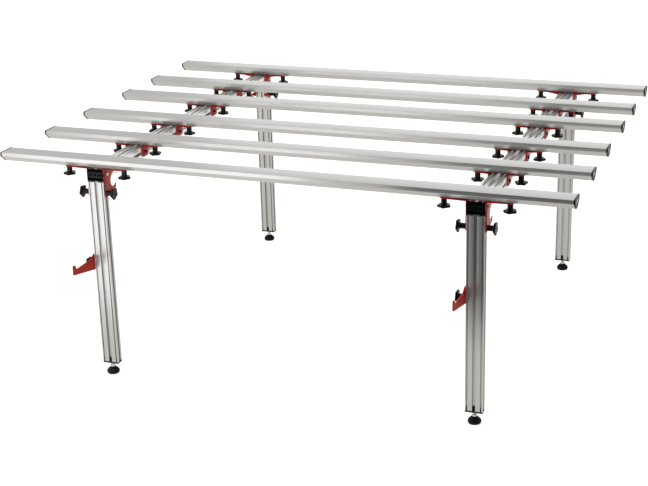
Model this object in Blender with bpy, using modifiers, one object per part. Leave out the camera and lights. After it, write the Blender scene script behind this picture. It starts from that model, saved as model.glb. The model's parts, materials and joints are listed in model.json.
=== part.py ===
"""A folding work table: two grooved rails on four folding legs, with six clamped slats as an open worktop.

Metres, +Z up. The origin is on the floor under the middle of the table's box. +X runs along the slats to the
right, and +Y runs along the rails to the back.
"""

import math

import bmesh
import bpy
from mathutils import Matrix, Vector

# The table as a whole
TABLE_HEIGHT = 0.723
RAIL_SPACING = 1.200  # between the rails' middles
RAIL_SHIFT = 0.020  # how far right of the slats' middle the rails stand

# Gaps between pieces
CLEARANCE = 0.0003  # between pieces that touch or turn in each other
SWING_CLEARANCE = 0.0015  # between a leg's top corner and the rail that it swings under

# Slats, with their middles' places from the rails' front ends, or from the back ends for the last slat
FRONT_SLAT_INSET = 0.0105
SECOND_SLAT = 0.2775
THIRD_SLAT = 0.5325
FOURTH_SLAT = 0.8155
FIFTH_SLAT = 1.0475
BACK_SLAT_INSET = 0.0345
SLAT_LENGTH = 1.800
SLAT_WIDTH = 0.063
SLAT_HEIGHT = 0.031
SLAT_UPRIGHT = 0.012  # upright part of each side, above the slanting part
SLAT_BASE = 0.019
SLAT_WALL = 0.002

# Grooves that the rails and the legs share
SLOT_MOUTH = 0.0086
SLOT_CHAMBER = 0.0125
SLOT_LIP = 0.0025
SLOT_DEPTH = 0.007
SCORE_WIDTH = 0.0035
SCORE_DEPTH = 0.003
SCORE_OFFSET = 0.020
EXTRUSION_WALL = 0.0022

# Rails
RAIL_LENGTH = 1.350
RAIL_WIDTH = 0.055
RAIL_HEIGHT = 0.038

# Legs
LEG_WIDTH = 0.054
LEG_DEPTH = 0.027
LEG_INSET = 0.0105  # from the rail's end to the middle of the leg
PIVOT_DROP = 0.040  # from the rail's underside to the leg's pivot
LEG_CLEAR = 0.037  # from the floor to the leg's lower end

# Star knobs and their studs
KNOB_DIAMETER = 0.040
KNOB_LOBES = 5
LOBE_DEPTH = 0.0032
HEAD_THICKNESS = 0.0075
HEAD_ROUNDING = 0.0025
HUB_DIAMETER = 0.017
HUB_FLARE = 0.0015
HUB_LENGTH = 0.0190
STUD_DIAMETER = 0.008
STUD_END_GAP = 0.0006  # between a hook stud's end and the bottom of the leg's slot
SPINDLE_DIAMETER = 0.010

# Red sheet-metal brackets
SHEET = 0.003
ARM_WIDTH = 0.022  # at the end of an arm
ARM_ROOT = 0.030  # where an arm meets the plate on the rail's side
ARM_CHAMFER = 0.0064
ARM_END = 0.011  # from a clamp knob's axis to the end of its arm
CLAMP_REACH = 0.066  # clamp knobs left and right of the rail's middle
HINGE_REACH = 0.095
TAB_WIDTH = 0.042
TAB_DROP = 0.033  # how far the tabs reach down the rail's sides
TAB_CHAMFER = 0.006
WEDGE_DEPTH = 0.010
STRAP_WIDTH = 0.016  # the strap over the rail, hidden under the slat
ARM_MARGIN = 0.001  # how far an arm runs in past the plate below it

# Hinge cheeks, measured from the pivot, forward of it as minus and towards the table's middle as plus
CHEEK_TOP_FRONT = -0.006
CHEEK_FRONT = -0.0085
CHEEK_HEEL = 0.0135  # where the lower edge turns up to the finger
CHEEK_BACK = 0.045
CHEEK_DROP = 0.011
FINGER_REACH = 0.059
FINGER_RISE = 0.004
FINGER_TIP_HEIGHT = 0.013
FINGER_TIP_WIDTH = 0.006
FINGER_WIDTH = 0.007
NOTCH_BACK = 0.053  # the notch's centre
NOTCH_UP = 0.031
NOTCH_RADIUS = 0.0265
STOP_GAP = 0.005  # between the leg's stop and the rail's underside
STOP_HEIGHT = 0.018

# Support hooks on the front legs
HOOK_SHEET = 0.004
HOOK_REACH = 0.127
HOOK_LEFT_HEIGHT = 0.3725  # knob axis above the floor
HOOK_RIGHT_HEIGHT = 0.3955
HOOK_ROOT_TOP = 0.0355
HOOK_HEEL_RUN = 0.018  # how far before the leg the top edge starts to rise to the root
HOOK_HEEL_TOP = 0.0245
HOOK_ROOT_DROP = 0.0155
HOOK_TIP_LOW = 0.0105
HOOK_TIP_TOP = 0.0405
HOOK_SEAT = 0.0245
HOOK_TIP_WIDTH = 0.011
HOOK_TIP_SLOPE = 0.007

# Levelling feet
FOOT_DIAMETER = 0.041
FOOT_NECK = 0.018
BELL_HEIGHT = 0.022
FOOT_RIM = 0.003
FOOT_STUD_DIAMETER = 0.010
FOOT_STUD_GRIP = 0.040  # stud length inside the leg
NUT_WIDTH = 0.017
NUT_HEIGHT = 0.006

# How finely round shapes are drawn
ROUND_SIDES = 10
FOOT_SIDES = 16
NUT_SIDES = 6
LOBE_POINTS = 4
NOTCH_POINTS = 6
BELL_STEPS = 3
HOLE_TURN = math.radians(5)  # keeps the corners of two holes in a plate out of line
SMOOTH_ANGLE = math.radians(40)
WELD = 0.000001

# Places worked out from the sizes above
RAIL_X = {"left": RAIL_SHIFT - RAIL_SPACING / 2, "right": RAIL_SHIFT + RAIL_SPACING / 2}
HOOK_HEIGHT = {"left": HOOK_LEFT_HEIGHT, "right": HOOK_RIGHT_HEIGHT}
FOOT_TRAVEL = LEG_CLEAR - BELL_HEIGHT - NUT_HEIGHT - CLEARANCE  # how far a foot screws into its leg
STUD_LENGTH = HOOK_SHEET + 2 * CLEARANCE + SLOT_DEPTH - STUD_END_GAP
SLAT_UNDERSIDE_Z = TABLE_HEIGHT - SLAT_HEIGHT
PLATE_TOP_Z = SLAT_UNDERSIDE_Z - CLEARANCE
PLATE_BOTTOM_Z = PLATE_TOP_Z - SHEET
RAIL_TOP_Z = PLATE_BOTTOM_Z - CLEARANCE
RAIL_BOTTOM_Z = RAIL_TOP_Z - RAIL_HEIGHT
PIVOT_Z = RAIL_BOTTOM_Z - PIVOT_DROP
LEG_HEAD = math.sqrt((PIVOT_DROP - SWING_CLEARANCE) ** 2 - (LEG_DEPTH / 2) ** 2)
CHEEK_INNER = max(RAIL_WIDTH, LEG_WIDTH) / 2 + CLEARANCE
CHEEK_OUTER = CHEEK_INNER + SHEET
RAIL_FRONT_Y = -(RAIL_LENGTH - LEG_DEPTH / 2 - HOOK_REACH + FOOT_DIAMETER / 2) / 2
RAIL_MIDDLE_Y = RAIL_FRONT_Y + RAIL_LENGTH / 2
MIDDLE_SLATS = (SECOND_SLAT, THIRD_SLAT, FOURTH_SLAT, FIFTH_SLAT)
SLAT_STATIONS = (FRONT_SLAT_INSET, *MIDDLE_SLATS, RAIL_LENGTH - BACK_SLAT_INSET)
SLAT_Y = [RAIL_FRONT_Y + station for station in SLAT_STATIONS]
LEG_Y = {"front": RAIL_FRONT_Y + LEG_INSET, "back": RAIL_FRONT_Y + RAIL_LENGTH - LEG_INSET}
END_SLAT = {"front": 0, "back": len(SLAT_Y) - 1}
INWARD = {"front": 1, "back": -1}

# Axes of a flat outline's own (across, up, thickness) in each plane
PLANES = {
    "XY": Matrix(((1, 0, 0), (0, 1, 0), (0, 0, 1))),
    "YZ": Matrix(((0, 0, 1), (1, 0, 0), (0, 1, 0))),
    "XZ": Matrix(((1, 0, 0), (0, 0, -1), (0, 1, 0))),
}
THICKNESS_SIGN = {"XY": 1, "YZ": 1, "XZ": -1}


def clear_scene():
    """Remove every object that the scene starts with."""
    for thing in list(bpy.data.objects):
        bpy.data.objects.remove(thing)


def make_material(name, colour, roughness, metallic):
    """A plain Principled finish."""
    material = bpy.data.materials.new(name)
    material.use_nodes = True
    shader = material.node_tree.nodes["Principled BSDF"]
    shader.inputs["Base Color"].default_value = (*colour, 1)
    shader.inputs["Roughness"].default_value = roughness
    shader.inputs["Metallic"].default_value = metallic
    return material


def link_new(name, data):
    """A new object in the scene's own collection, for shaping."""
    thing = bpy.data.objects.new(name, data)
    bpy.context.scene.collection.objects.link(thing)
    return thing


def baked(thing, matrix=None):
    """Replace a shaped object by a plain welded mesh object, turned by matrix."""
    depsgraph = bpy.context.evaluated_depsgraph_get()
    mesh = bpy.data.meshes.new_from_object(thing.evaluated_get(depsgraph))
    form = bmesh.new()
    form.from_mesh(mesh)
    if matrix is not None:
        bmesh.ops.transform(form, matrix=matrix, verts=form.verts)
    bmesh.ops.remove_doubles(form, verts=form.verts, dist=WELD)
    bmesh.ops.recalc_face_normals(form, faces=form.faces)
    form.to_mesh(mesh)
    form.free()
    bpy.data.objects.remove(thing)
    return link_new("form", mesh)


def flat_form(loops, low, high, plane):
    """A flat outline with holes, drawn in a plane and thick from low to high along the plane's axis."""
    curve = bpy.data.curves.new("outline", "CURVE")
    curve.dimensions = "2D"
    curve.fill_mode = "BOTH"
    curve.extrude = (high - low) / 2
    for loop in loops:
        spline = curve.splines.new("POLY")
        spline.points.add(len(loop) - 1)
        for point, (across, up) in zip(spline.points, loop):
            point.co = (across, up, 0, 1)
        spline.use_cyclic_u = True
    middle = THICKNESS_SIGN[plane] * (low + high) / 2
    turn = PLANES[plane].to_4x4() @ Matrix.Translation((0, 0, middle))
    return baked(link_new("outline", curve), turn)


def turned_form(profile, sides):
    """A turned shape about Z from (radius, height) points, top to bottom down its outer side."""
    mesh = bpy.data.meshes.new("profile")
    line = bmesh.new()
    points = [line.verts.new((radius, 0, height)) for radius, height in profile]
    for start, end in zip(points, points[1:]):
        line.edges.new((start, end))
    line.to_mesh(mesh)
    line.free()
    thing = link_new("profile", mesh)
    screw = thing.modifiers.new("turn", "SCREW")
    screw.axis = "Z"
    screw.steps = sides
    screw.render_steps = sides
    screw.use_merge_vertices = True
    screw.merge_threshold = WELD
    return baked(thing)


def rod_form(radius, low, high, sides, direction="Z"):
    """A straight round or polygonal rod from low to high along X or Z."""
    mesh = bpy.data.meshes.new("rod")
    form = bmesh.new()
    bmesh.ops.create_cone(
        form, cap_ends=True, segments=sides, radius1=radius, radius2=radius, depth=high - low
    )
    form.to_mesh(mesh)
    form.free()
    turn = Matrix.Translation((0, 0, (low + high) / 2))
    if direction == "X":
        turn = Matrix.Rotation(math.pi / 2, 4, "Y") @ turn
    return baked(link_new("rod", mesh), turn)


def box_form(low, high):
    """A box between two corners."""
    low, high = Vector(low), Vector(high)
    mesh = bpy.data.meshes.new("box")
    form = bmesh.new()
    bmesh.ops.create_cube(form, size=1)
    form.to_mesh(mesh)
    form.free()
    size = Matrix.Diagonal((*(high - low), 1))
    return baked(link_new("box", mesh), Matrix.Translation((low + high) / 2) @ size)


def combine(base, operation, *others):
    """Unite others with base, or cut them from it, and return the result."""
    for other in others:
        step = base.modifiers.new(operation, "BOOLEAN")
        step.operation = operation
        step.solver = "EXACT"
        step.object = other
        base = baked(base)
        bpy.data.objects.remove(other)
    return base


def finished_mesh(form, name):
    """The mesh of a form, ready to be shared by parts."""
    mesh = form.data
    mesh.name = name
    mesh.shade_smooth()
    mesh.set_sharp_from_angle(angle=SMOOTH_ANGLE)
    bpy.data.objects.remove(form)
    return mesh


def circle(radius, centre, sides=ROUND_SIDES):
    """A hole's outline whose flats all lie at the given radius."""
    corner = radius / math.cos(math.pi / sides)
    turns = [HOLE_TURN + 2 * math.pi * step / sides for step in range(sides)]
    return [(centre[0] + corner * math.cos(a), centre[1] + corner * math.sin(a)) for a in turns]


def inset(outline, depth):
    """A convex counter-clockwise outline moved inwards by depth."""
    result = []
    count = len(outline)
    for index in range(count):
        before, here, after = (Vector(outline[(index + step) % count]) for step in (-1, 0, 1))
        first = (here - before).normalized()
        second = (after - here).normalized()
        inward = Vector((-first.y, first.x)) + Vector((-second.y, second.x))
        result.append(tuple(here + inward * (2 * depth / inward.length_squared)))
    return result


def slot_points(centre, mouth, chamber, lip, depth, face):
    """Points of an undercut slot in an outline's upper face, from right to left."""
    if chamber == mouth:
        steps = ((mouth, 0), (mouth, depth))
    else:
        steps = ((mouth, 0), (mouth, lip), (chamber, lip), (chamber, depth))
    right = [(centre + width / 2, face - drop) for width, drop in steps]
    left = [(2 * centre - across, up) for across, up in reversed(right)]
    return right + left


def extrusion_loops(width, height):
    """The outline and the two long hollows of a rail or leg."""
    half = [(width / 2, height / 2)]
    score = (SCORE_WIDTH, SCORE_WIDTH, SCORE_DEPTH, SCORE_DEPTH, height / 2)
    slot = (SLOT_MOUTH, SLOT_CHAMBER, SLOT_LIP, SLOT_DEPTH)
    half += slot_points(SCORE_OFFSET, *score)
    half += slot_points(0, *slot, height / 2)
    half += slot_points(-SCORE_OFFSET, *score)
    half.append((-width / 2, height / 2))
    half += [(-up, across) for across, up in slot_points(0, *slot, width / 2)]
    outline = half + [(-across, -up) for across, up in half]
    inner = SLOT_CHAMBER / 2 + EXTRUSION_WALL
    outer = min(SCORE_OFFSET - SCORE_WIDTH / 2, width / 2 - SLOT_DEPTH) - EXTRUSION_WALL / 2
    top = height / 2 - EXTRUSION_WALL
    hollow = [(inner, -top), (outer, -top), (outer, top), (inner, top)]
    return [outline, hollow, [(-across, up) for across, up in hollow]]


def slat_mesh():
    """A hollow slat, open along the middle of its underside for the clamp studs."""
    half, base, low = SLAT_WIDTH / 2, SLAT_BASE / 2, -SLAT_HEIGHT
    outer = [(-half, 0), (-half, -SLAT_UPRIGHT), (-base, low), (base, low), (half, -SLAT_UPRIGHT), (half, 0)]
    inner = inset(outer, SLAT_WALL)
    mouth = STUD_DIAMETER / 2 + CLEARANCE
    right = [(mouth, low)] + outer[3:] + outer[:3] + [(-mouth, low)]
    back = [(-mouth, low + SLAT_WALL)] + inner[2::-1] + inner[:2:-1] + [(mouth, low + SLAT_WALL)]
    form = flat_form([right + back], -SLAT_LENGTH / 2, SLAT_LENGTH / 2, "YZ")
    return finished_mesh(form, "slat")


def rail_mesh():
    """A rail about its own middle, with its grooved faces up and down."""
    loops = extrusion_loops(RAIL_WIDTH, RAIL_HEIGHT)
    return finished_mesh(flat_form(loops, -RAIL_LENGTH / 2, RAIL_LENGTH / 2, "XZ"), "rail")


def bore_corner(diameter):
    """Corner radius of a faceted bore that clears a shaft all round."""
    return (diameter / 2 + CLEARANCE) / math.cos(math.pi / ROUND_SIDES)


def leg_mesh():
    """A leg about its pivot, bored for the spindle and for the foot's stud."""
    low = LEG_CLEAR - PIVOT_Z
    form = flat_form(extrusion_loops(LEG_WIDTH, LEG_DEPTH), low, LEG_HEAD, "XY")
    pivot = rod_form(bore_corner(SPINDLE_DIAMETER), -LEG_WIDTH, LEG_WIDTH, ROUND_SIDES, "X")
    depth = FOOT_STUD_GRIP + FOOT_TRAVEL + CLEARANCE
    stud = rod_form(bore_corner(FOOT_STUD_DIAMETER), low - depth, low + depth, ROUND_SIDES)
    return finished_mesh(combine(form, "DIFFERENCE", pivot, stud), "leg")


def star_loop():
    """Outline of a star knob's lobed head."""
    count = KNOB_LOBES * LOBE_POINTS
    loop = []
    for step in range(count):
        turn = 2 * math.pi * step / count
        radius = KNOB_DIAMETER / 2 - LOBE_DEPTH * (1 - math.cos(KNOB_LOBES * turn)) / 2
        loop.append((radius * math.cos(turn), radius * math.sin(turn)))
    return loop


def star_head(low, high):
    """A star knob's lobed head, with its rims eased."""
    eased = 1 - HEAD_ROUNDING / (KNOB_DIAMETER / 2)
    levels = ((low, eased), (low + HEAD_ROUNDING, 1), (high - HEAD_ROUNDING, 1), (high, eased))
    mesh = bpy.data.meshes.new("star_head")
    form = bmesh.new()
    rings = []
    for height, share in levels:
        ring = [form.verts.new((share * across, share * up, height)) for across, up in star_loop()]
        rings.append([form.edges.new(pair) for pair in zip(ring, ring[1:] + ring[:1])])
        if height in (low, high):
            form.faces.new(ring)
    for lower, upper in zip(rings, rings[1:]):
        bmesh.ops.bridge_loops(form, edges=lower + upper)
    form.to_mesh(mesh)
    form.free()
    return baked(link_new("star_head", mesh))


def hub_points(seat, direction):
    """Profile points of a knob's hub, from its seat to inside its head."""
    hub = HUB_DIAMETER / 2
    flare = seat + direction * (HUB_LENGTH + HEAD_ROUNDING)
    core = seat + direction * (HUB_LENGTH + HEAD_THICKNESS / 2)
    return [(hub, seat), (hub + HUB_FLARE, flare), (hub, core), (0, core)]


def knob_mesh():
    """A star knob about its stud, seated at zero with its head below."""
    stud = STUD_DIAMETER / 2
    profile = [(0, STUD_LENGTH), (stud, STUD_LENGTH), (stud, 0)] + hub_points(0, -1)
    head = star_head(-HUB_LENGTH - HEAD_THICKNESS, -HUB_LENGTH)
    form = combine(turned_form(profile, ROUND_SIDES), "UNION", head)
    return finished_mesh(form, "star_knob")


def spindle_mesh():
    """A leg's pivot spindle along X, with a star knob at each end."""
    shaft = SPINDLE_DIAMETER / 2
    seat = CHEEK_OUTER + CLEARANCE
    upper = hub_points(seat, 1)
    profile = upper[::-1] + [(shaft, seat), (shaft, -seat)] + hub_points(-seat, -1)
    heads = []
    for direction in (1, -1):
        ends = sorted((direction * (seat + HUB_LENGTH), direction * (seat + HUB_LENGTH + HEAD_THICKNESS)))
        heads.append(star_head(*ends))
    form = combine(turned_form(profile, ROUND_SIDES), "UNION", *heads)
    return finished_mesh(baked(form, Matrix.Rotation(math.pi / 2, 4, "Y")), "lock_spindle")


def foot_mesh():
    """A levelling foot about its stud, standing at zero."""
    rim, neck, stud = FOOT_DIAMETER / 2, FOOT_NECK / 2, FOOT_STUD_DIAMETER / 2
    profile = [
        (0, LEG_CLEAR + FOOT_STUD_GRIP),
        (stud, LEG_CLEAR + FOOT_STUD_GRIP),
        (stud, BELL_HEIGHT),
    ]
    for step in range(BELL_STEPS + 1):
        turn = math.pi / 2 * step / BELL_STEPS
        height = FOOT_RIM + (BELL_HEIGHT - FOOT_RIM) * math.cos(turn)
        profile.append((neck + (rim - neck) * math.sin(turn), height))
    profile += [(rim, 0), (0, 0)]
    corner = NUT_WIDTH / 2 / math.cos(math.pi / NUT_SIDES)
    nut = rod_form(corner, BELL_HEIGHT - FOOT_RIM, BELL_HEIGHT + NUT_HEIGHT, NUT_SIDES)
    return finished_mesh(combine(turned_form(profile, FOOT_SIDES), "UNION", nut), "foot")


def corners_only(outline):
    """An outline without repeated points or points along its straight stretches."""
    distinct = [here for here, after in zip(outline, outline[1:] + outline[:1]) if here != after]
    corners = []
    for index, here in enumerate(distinct):
        into = Vector(here) - Vector(distinct[index - 1])
        out = Vector(distinct[(index + 1) % len(distinct)]) - Vector(here)
        if abs(into.cross(out)) > WELD * SHEET:
            corners.append(here)
    return corners


def plate_loops(reach):
    """Plan of a bracket's plate about the slat's middle: a strap over the rail and an arm on each side."""
    half, root, strap, cut = ARM_WIDTH / 2, ARM_ROOT / 2, STRAP_WIDTH / 2, ARM_CHAMFER
    start, end = CHEEK_INNER - ARM_MARGIN, reach + ARM_END
    right = [
        (start, -strap),
        (start, -root),
        (end - cut, -half),
        (end, cut - half),
        (end, half - cut),
        (end - cut, half),
        (start, root),
        (start, strap),
    ]
    outline = right + [(-across, up) for across, up in reversed(right)]
    hole = STUD_DIAMETER / 2 + CLEARANCE
    return [corners_only(outline), circle(hole, (-reach, 0)), circle(hole, (reach, 0))]


def side_plates(loops):
    """The same upright plate on both sides of the rail."""
    return [flat_form(loops, *sorted((side * CHEEK_INNER, side * CHEEK_OUTER)), "YZ") for side in (-1, 1)]


def clamp_bracket_mesh():
    """A saddle that rides on a rail and carries a slat, about the slat's middle at the plate's top."""
    back = TAB_WIDTH / 2
    low = RAIL_TOP_Z - TAB_DROP - PLATE_TOP_Z
    plate = flat_form(plate_loops(CLAMP_REACH), -SHEET, 0, "XY")
    cut = TAB_CHAMFER
    tab = [
        (-back, -SHEET / 2),
        (-back, low + cut),
        (cut - back, low),
        (back - cut, low),
        (back, low + cut),
        (back, -SHEET / 2),
    ]
    return finished_mesh(combine(plate, "UNION", *side_plates([tab])), "clamp_bracket")


def cheek_loops(inward, lift, shift):
    """Outline of a hinge cheek about the slat's middle, with the pivot's hole."""
    top = PLATE_TOP_Z - SHEET / 2 - PIVOT_Z
    seat = FINGER_RISE + FINGER_WIDTH
    low_turn = math.pi - math.asin((seat - NOTCH_UP) / NOTCH_RADIUS)
    high_turn = math.acos((CHEEK_BACK - NOTCH_BACK) / NOTCH_RADIUS)
    notch = []
    for step in range(NOTCH_POINTS):
        turn = low_turn + (high_turn - low_turn) * step / (NOTCH_POINTS - 1)
        notch.append((NOTCH_BACK + NOTCH_RADIUS * math.cos(turn), NOTCH_UP + NOTCH_RADIUS * math.sin(turn)))
    outline = [
        (CHEEK_TOP_FRONT, top),
        (CHEEK_FRONT, -CHEEK_DROP),
        (CHEEK_HEEL, -CHEEK_DROP),
        (FINGER_REACH, FINGER_RISE),
        (FINGER_REACH, FINGER_RISE + FINGER_TIP_HEIGHT),
        (FINGER_REACH - FINGER_TIP_WIDTH, seat),
        *notch,
        (CHEEK_BACK, top),
    ]
    hole = circle(SPINDLE_DIAMETER / 2 + CLEARANCE, (0, 0))
    return [[(inward * along + shift, up - lift) for along, up in loop] for loop in (outline, hole)]


def hinge_bracket_mesh(end):
    """A rail-end bracket about its slat's middle: arms under the slat, hinge cheeks and the leg's stop."""
    inward = INWARD[end]
    shift = LEG_Y[end] - SLAT_Y[END_SLAT[end]]
    lift = PLATE_TOP_Z - PIVOT_Z
    form = flat_form(plate_loops(HINGE_REACH), -SHEET, 0, "XY")
    cheeks = side_plates(cheek_loops(inward, lift, shift))
    edge = sorted(inward * (ARM_WIDTH / 2 - step) for step in (0, SHEET))
    wedges = []
    for side in (-1, 1):
        start_x = side * (CHEEK_INNER + SHEET / 2)
        end_x = side * (HINGE_REACH - HUB_DIAMETER)
        loop = [(start_x, -SHEET / 2), (start_x, -WEDGE_DEPTH), (end_x, -SHEET / 2)]
        wedges.append(flat_form([loop], *edge, "XZ"))
    stop_y = sorted(shift + inward * (LEG_DEPTH / 2 + CLEARANCE + step) for step in (0, SHEET))
    stop_x = CHEEK_INNER + SHEET / 2
    stop_top = PIVOT_DROP - STOP_GAP - lift
    stop = box_form((-stop_x, stop_y[0], stop_top - STOP_HEIGHT), (stop_x, stop_y[1], stop_top))
    return finished_mesh(combine(form, "UNION", *cheeks, *wedges, stop), f"hinge_bracket_{end}")


def hook_mesh():
    """A support hook on the left side of a front leg, about its knob's axis and the leg's middle."""
    root = LEG_DEPTH / 2
    tip = -root - HOOK_REACH
    outline = [
        (root, HOOK_ROOT_TOP),
        (root, -HOOK_ROOT_DROP),
        (-root, -HOOK_ROOT_DROP),
        (tip, HOOK_TIP_LOW),
        (tip, HOOK_TIP_TOP),
        (tip + HOOK_TIP_WIDTH, HOOK_TIP_TOP),
        (tip + HOOK_TIP_WIDTH + HOOK_TIP_SLOPE, HOOK_SEAT),
        (-root - HOOK_HEEL_RUN, HOOK_HEEL_TOP),
        (-root, HOOK_ROOT_TOP),
    ]
    side = -LEG_WIDTH / 2 - CLEARANCE
    hole = circle(STUD_DIAMETER / 2 + CLEARANCE, (0, 0))
    return finished_mesh(flat_form([outline, hole], side - HOOK_SHEET, side, "YZ"), "hook")


class Table:
    """The finished table's collection, materials and parts."""

    def __init__(self):
        self.collection = bpy.data.collections.new("folding_work_table")
        bpy.context.scene.collection.children.link(self.collection)
        self.aluminium = make_material("satin_anodised_aluminium", (0.62, 0.62, 0.60), 0.35, 1.0)
        self.red = make_material("red_powder_coat", (0.40, 0.025, 0.015), 0.45, 0.0)
        self.black = make_material("black_moulded_nylon", (0.012, 0.012, 0.013), 0.35, 0.0)
        self.rubber = make_material("black_rubber", (0.010, 0.010, 0.010), 0.6, 0.0)
        self.places = {}

    def add(self, name, mesh, material, place, parent=None, turn=(0, 0, 0)):
        """Place one part by its world position, under its parent."""
        part = bpy.data.objects.new(name, mesh)
        if not mesh.materials:
            mesh.materials.append(material)
        self.collection.objects.link(part)
        part.rotation_euler = turn
        part.location = Vector(place)
        if parent is not None:
            part.parent = parent
            part.location -= self.places[parent.name]
        self.places[name] = Vector(place)
        return part

    def add_rails(self):
        """Both rails."""
        mesh = rail_mesh()
        middle = (RAIL_TOP_Z + RAIL_BOTTOM_Z) / 2
        for rail, x in RAIL_X.items():
            self.add(f"rail_{rail}", mesh, self.aluminium, (x, RAIL_MIDDLE_Y, middle))

    def add_slats(self):
        """Six slats, each with its two brackets' clamp knobs; the four middle slats have saddle brackets."""
        slat, knob, saddle = slat_mesh(), knob_mesh(), clamp_bracket_mesh()
        for index, y in enumerate(SLAT_Y):
            number = index + 1
            middle = index not in END_SLAT.values()
            self.add(f"slat_{number}", slat, self.aluminium, (0, y, TABLE_HEIGHT))
            reach = CLAMP_REACH if middle else HINGE_REACH
            for rail, x in RAIL_X.items():
                if middle:
                    self.add(f"clamp_bracket_{number}_{rail}", saddle, self.red, (x, y, PLATE_TOP_Z))
                sides = ("outer", "inner") if rail == "left" else ("inner", "outer")
                for side, offset in zip(sides, (-reach, reach)):
                    seat = (x + offset, y, PLATE_BOTTOM_Z - CLEARANCE)
                    self.add(f"clamp_knob_{number}_{rail}_{side}", knob, self.black, seat)
        return knob

    def add_legs(self, knob):
        """Four folding legs with their brackets, spindles and feet, and the hooks on the front ones."""
        leg, spindle, foot, hook = leg_mesh(), spindle_mesh(), foot_mesh(), hook_mesh()
        for end, y in LEG_Y.items():
            bracket = hinge_bracket_mesh(end)
            for rail, x in RAIL_X.items():
                seat = (x, SLAT_Y[END_SLAT[end]], PLATE_TOP_Z)
                self.add(f"hinge_bracket_{end}_{rail}", bracket, self.red, seat)
                post = self.add(f"leg_{end}_{rail}", leg, self.aluminium, (x, y, PIVOT_Z))
                self.add(f"lock_spindle_{end}_{rail}", spindle, self.black, (x, y, PIVOT_Z), post)
                self.add(f"foot_{end}_{rail}", foot, self.rubber, (x, y, 0), post)
                if end == "front":
                    height = HOOK_HEIGHT[rail]
                    arm = self.add(f"hook_{rail}", hook, self.red, (x, y, height), post)
                    seat = (x - LEG_WIDTH / 2 - HOOK_SHEET - 2 * CLEARANCE, y, height)
                    turn = (0, math.pi / 2, 0)
                    self.add(f"hook_knob_{rail}", knob, self.black, seat, arm, turn)


def main():
    """Build the whole table."""
    clear_scene()
    table = Table()
    table.add_rails()
    knob = table.add_slats()
    table.add_legs(knob)


main()
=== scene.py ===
"""Looks of a folding work table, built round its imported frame.

Metres, +Z up. Every piece is made in the frame's own coordinates and rides on a body of the frame. The
sizes that fit the frame are read from its nodes, and the rest are fields of the class that uses them.
"""

import json
import logging
import math
from collections.abc import Iterable, Sequence
from dataclasses import dataclass, field
from enum import Enum
from typing import Any

import bmesh
import bpy
from mathutils import Matrix, Vector

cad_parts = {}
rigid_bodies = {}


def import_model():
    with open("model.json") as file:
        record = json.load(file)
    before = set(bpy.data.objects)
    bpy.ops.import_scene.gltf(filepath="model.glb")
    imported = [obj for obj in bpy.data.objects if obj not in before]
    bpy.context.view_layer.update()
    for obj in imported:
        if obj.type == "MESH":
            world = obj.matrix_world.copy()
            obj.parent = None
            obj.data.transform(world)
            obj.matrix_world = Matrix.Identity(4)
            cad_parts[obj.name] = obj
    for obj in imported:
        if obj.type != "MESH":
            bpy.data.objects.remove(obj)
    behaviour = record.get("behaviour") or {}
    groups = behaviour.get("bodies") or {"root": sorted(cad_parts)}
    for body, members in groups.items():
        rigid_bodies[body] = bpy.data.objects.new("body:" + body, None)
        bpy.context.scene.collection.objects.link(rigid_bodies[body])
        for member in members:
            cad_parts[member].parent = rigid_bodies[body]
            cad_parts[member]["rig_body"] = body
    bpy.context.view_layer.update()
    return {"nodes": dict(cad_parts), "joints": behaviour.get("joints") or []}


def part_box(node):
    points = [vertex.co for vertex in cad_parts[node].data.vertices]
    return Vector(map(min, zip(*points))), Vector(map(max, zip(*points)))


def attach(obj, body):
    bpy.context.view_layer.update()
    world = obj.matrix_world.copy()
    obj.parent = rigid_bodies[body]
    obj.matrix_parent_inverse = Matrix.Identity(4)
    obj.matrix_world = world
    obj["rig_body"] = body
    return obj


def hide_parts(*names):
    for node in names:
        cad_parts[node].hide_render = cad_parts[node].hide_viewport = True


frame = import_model()

log = logging.getLogger("folding_work_table")

Point = tuple[float, float]
Loop = list[Point]
Ring = list[Vector]

MILLIMETRES = 1000.0
# Turns a stretched gloss from along the tangent to across it
QUARTER_TURN = 0.25
# Finer layers in the noise of a grain and of a mottle
GRAIN_LAYERS = 3.0
MOTTLE_LAYERS = 2.0
# Sockets of a Mix node that mixes colours
MIX_FACTOR, MIX_FIRST, MIX_SECOND, MIX_RESULT = 0, 6, 7, 2
# The die lines and the clouds of an extrusion, as they are drawn
LINE_WIDTH_MM, LINE_LENGTH_MM = 5.0, 900.0
CLOUD_WIDTH_MM, CLOUD_LENGTH_MM = 60.0, 700.0
WELD = 1e-6
SMOOTH_ANGLE = math.radians(35)


class Run(Enum):
    """The way an extrusion's length runs."""

    ALONG_X = 0
    ALONG_Y = 1
    ALONG_Z = 2


class Rail(Enum):
    """The two rails, named as they stand in the photograph."""

    LEFT = "left"
    RIGHT = "right"


class End(Enum):
    """The two ends of a rail, with the direction from that end towards the table's middle."""

    FRONT = "front"
    BACK = "back"

    @property
    def inward(self) -> int:
        """The sign of the way in along Y."""
        return 1 if self is End.FRONT else -1


class Tone(Enum):
    """Colours of the anodised aluminium: the slats and legs, and the rails, whose brighter tone is partly
    a brighter finish and partly painted light that lifts the shade the slats cast on them.
    """

    SATIN = ("#B6B6B5", "#AAAAA8")
    # Lighter than satin: partly a brighter finish, partly painted light that lifts the shade under the
    # slats
    BRIGHT = ("#F0F0EE", "#E6E6E4")


class Slot(Enum):
    """The record's material slots."""

    ALUMINIUM = "aluminium"
    RED = "red_coat"
    KNOB = "black_knob"
    RUBBER = "foot_rubber"


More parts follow.
